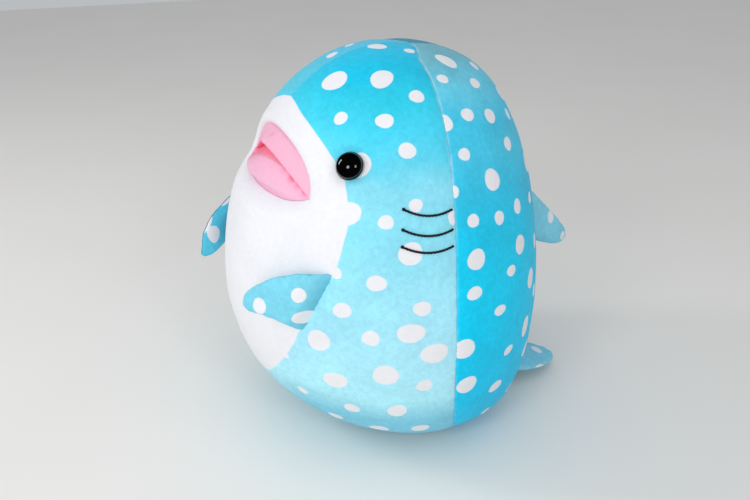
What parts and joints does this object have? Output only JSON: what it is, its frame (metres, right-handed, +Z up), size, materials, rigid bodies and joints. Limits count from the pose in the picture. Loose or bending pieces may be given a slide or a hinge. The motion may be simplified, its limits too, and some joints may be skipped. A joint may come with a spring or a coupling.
{
  "type": "plush shark",
  "caption": "Upright egg-shaped plush shark in spotted blue short-pile fabric, with a folded pink mouth, domed safety eyes, stitched gills, soft side fins, a back fin and a tail.",
  "frame": {"origin": "centre of the round base panel's resting face, on the surface the plush sits on", "axes": "+Z up through the body, -Y toward the face, +X toward the plush's own left side"},
  "size_m": [0.296, 0.359, 0.34],
  "materials": {
    "plush_front": "short-pile plush, soft sheen, printed white spots and belly",
    "plush_back": "short-pile plush, soft sheen, printed white spots",
    "fin_plush": "short-pile plush, soft sheen, printed white spots",
    "mouth_palate": "smooth short-pile plush",
    "mouth_lip": "smooth short-pile plush",
    "eye_black": "polished black",
    "washer_plastic": "moulded, natural white",
    "gill_thread": "embroidery thread",
    "seam_thread": "sewing thread",
    "stuffing": "polyester fibre filling"
  },
  "bodies": {
    "body": {"front_left_panel": "plush_front", "front_right_panel": "plush_front", "back_left_panel": "plush_back", "back_right_panel": "plush_back", "base_panel": "plush_back", "body_stuffing": "stuffing", "mouth_upper_panel": "mouth_palate", "mouth_lower_panel": "mouth_lip", "left_eye": "eye_black", "right_eye": "eye_black", "left_eye_washer": "washer_plastic", "right_eye_washer": "washer_plastic", "left_gill_stitches": "gill_thread", "right_gill_stitches": "gill_thread", "centre_seam_thread": "seam_thread", "left_seam_thread": "seam_thread", "right_seam_thread": "seam_thread", "base_seam_thread": "seam_thread"},
    "left_fin": {"left_fin_outer_panel": "fin_plush", "left_fin_inner_panel": "fin_plush", "left_fin_stuffing": "stuffing"},
    "right_fin": {"right_fin_outer_panel": "fin_plush", "right_fin_inner_panel": "fin_plush", "right_fin_stuffing": "stuffing"},
    "dorsal_fin": {"dorsal_fin_left_panel": "plush_back", "dorsal_fin_right_panel": "plush_back", "dorsal_fin_stuffing": "stuffing"},
    "tail": {"tail_upper_panel": "plush_back", "tail_lower_panel": "plush_back", "tail_stuffing": "stuffing"}
  },
  "joints": [
    {"name": "left_fin_flap", "type": "hinge", "parent": "body", "child": "left_fin", "pos_m": [0.11145, -0.13918, 0.19179], "axis": [0.2598, 0.3765, 0.8892], "range_deg": [0, 70], "stiffness_Nm_per_rad": 0.02},
    {"name": "right_fin_flap", "type": "hinge", "parent": "body", "child": "right_fin", "pos_m": [-0.11145, -0.13918, 0.19179], "axis": [0.2598, -0.3765, -0.8892], "range_deg": [0, 70], "stiffness_Nm_per_rad": 0.02},
    {"name": "dorsal_fin_sway", "type": "hinge", "parent": "body", "child": "dorsal_fin", "pos_m": [0, 0.08536, 0.21059], "axis": [0, -0.1085, 0.9941], "range_deg": [-35, 35], "stiffness_Nm_per_rad": 0.02},
    {"name": "tail_flap", "type": "hinge", "parent": "body", "child": "tail", "pos_m": [0, 0.07873, 0.02039], "axis": [1, 0, 0], "range_deg": [-5, 45], "stiffness_Nm_per_rad": 0.02}
  ]
}
